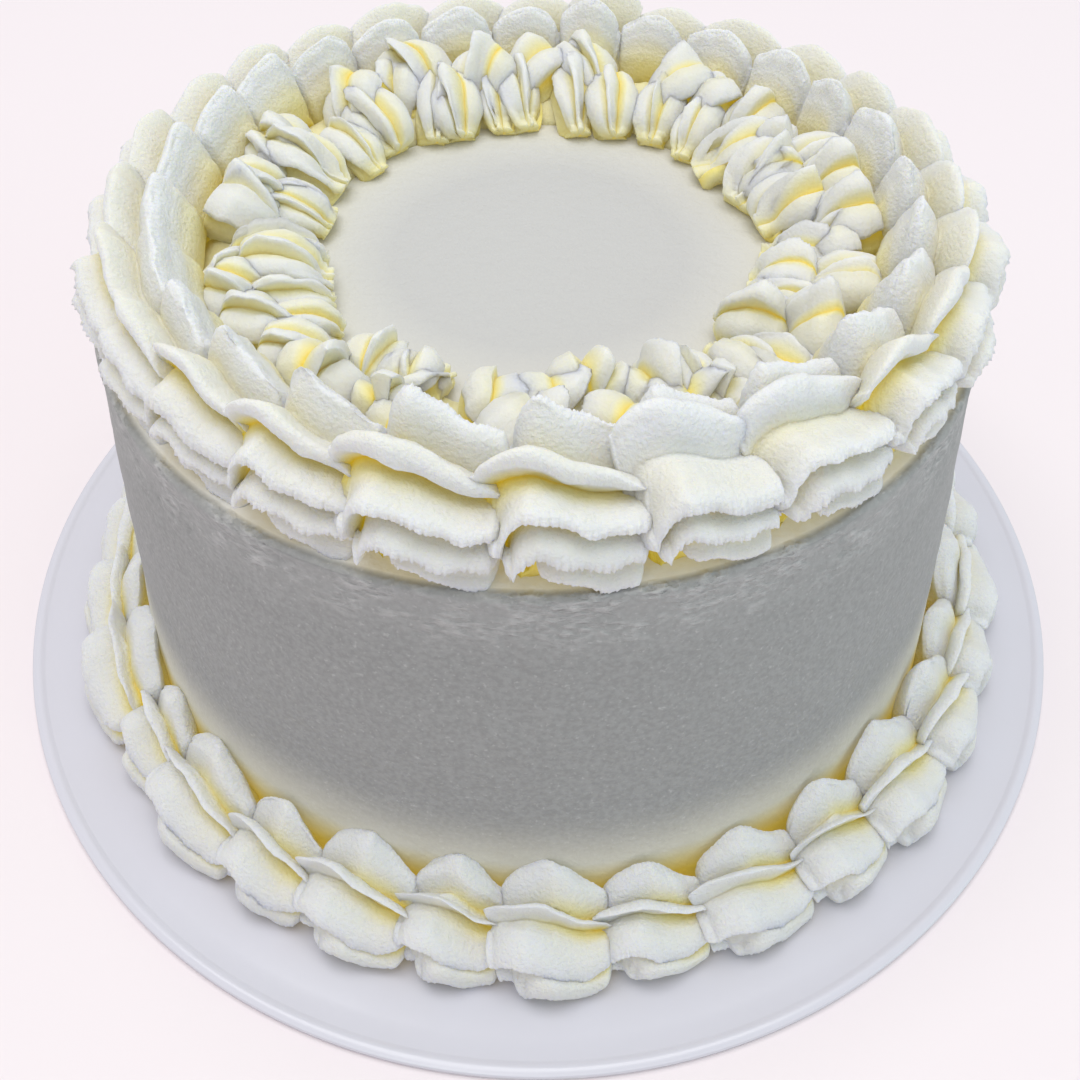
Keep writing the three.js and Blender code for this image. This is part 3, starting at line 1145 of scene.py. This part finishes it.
# Floor, light and surroundings
studio = {
    "floorSide": 6.0,
    "floorColour": (0.80, 0.73, 0.74),
    "floorGlow": 0.05,
    "floorRoughness": 0.6,
    "floorDullness": 0.05,  # how much rougher it is in patches
    "floorPatches": (40 * mm, 2),
    "worldColour": (0.93, 0.95, 1.0),
    "worldStrength": 0.64,
    "aim": (0, 0, 0.05),  # both lights point here
    "keyPlace": (-0.16, -0.1, 2.45),
    "keySide": 2.0,
    "keyPower": 41,
    "keyColour": (1.0, 0.995, 0.985),
    "coolPlace": (1.3, -0.5, 0.55),
    "coolSide": 0.8,
    "coolPower": 2.2,
    "coolColour": (0.45, 0.95, 1.0),
}


# A square light, tilted up from straight down and then turned towards its aim
def addLight(plan, name):
    data = bpy.data.lights.new(name, "AREA")
    data.shape = "SQUARE"
    data.size = plan[name + "Side"]
    data.energy = plan[name + "Power"]
    data.color = plan[name + "Colour"]
    light = addObject(name, data)
    light.location = plan[name + "Place"]
    way = np.array(plan["aim"]) - np.array(plan[name + "Place"])
    tilt = math.acos(-way[2] / np.linalg.norm(way))
    turn = math.atan2(way[1], way[0]) + math.pi / 2 + math.pi
    light.rotation_euler = (tilt, 0, turn)


def makeFloor(plan):
    half = plan["floorSide"] / 2
    corners = [(-half, -half, 0), (half, -half, 0), (half, half, 0), (-half, half, 0)]
    mesh = bpy.data.meshes.new("floor")
    mesh.from_pydata(corners, [], [(0, 1, 2, 3)])
    finish = Finish("pale floor")
    patch = finish.noise(*plan["floorPatches"], finish.place())
    colour = (*plan["floorColour"], 1)
    mesh.materials.append(finish.close({
        "Base Color": colour,
        "Roughness": plan["floorRoughness"] + plan["floorDullness"] * patch,
        "Emission Color": colour,
        "Emission Strength": plan["floorGlow"],
    }))
    addObject("floor", mesh)


def setWorld(plan):
    world = bpy.data.worlds.new("soft room")
    world.use_nodes = True
    background = world.node_tree.nodes["Background"]
    background.inputs["Color"].default_value = (*plan["worldColour"], 1)
    background.inputs["Strength"].default_value = plan["worldStrength"]
    bpy.context.scene.world = world
    bpy.context.scene.view_settings.view_transform = "Standard"


makeFloor(studio)
setWorld(studio)
addLight(studio, "key")
addLight(studio, "cool")
print("studio set")
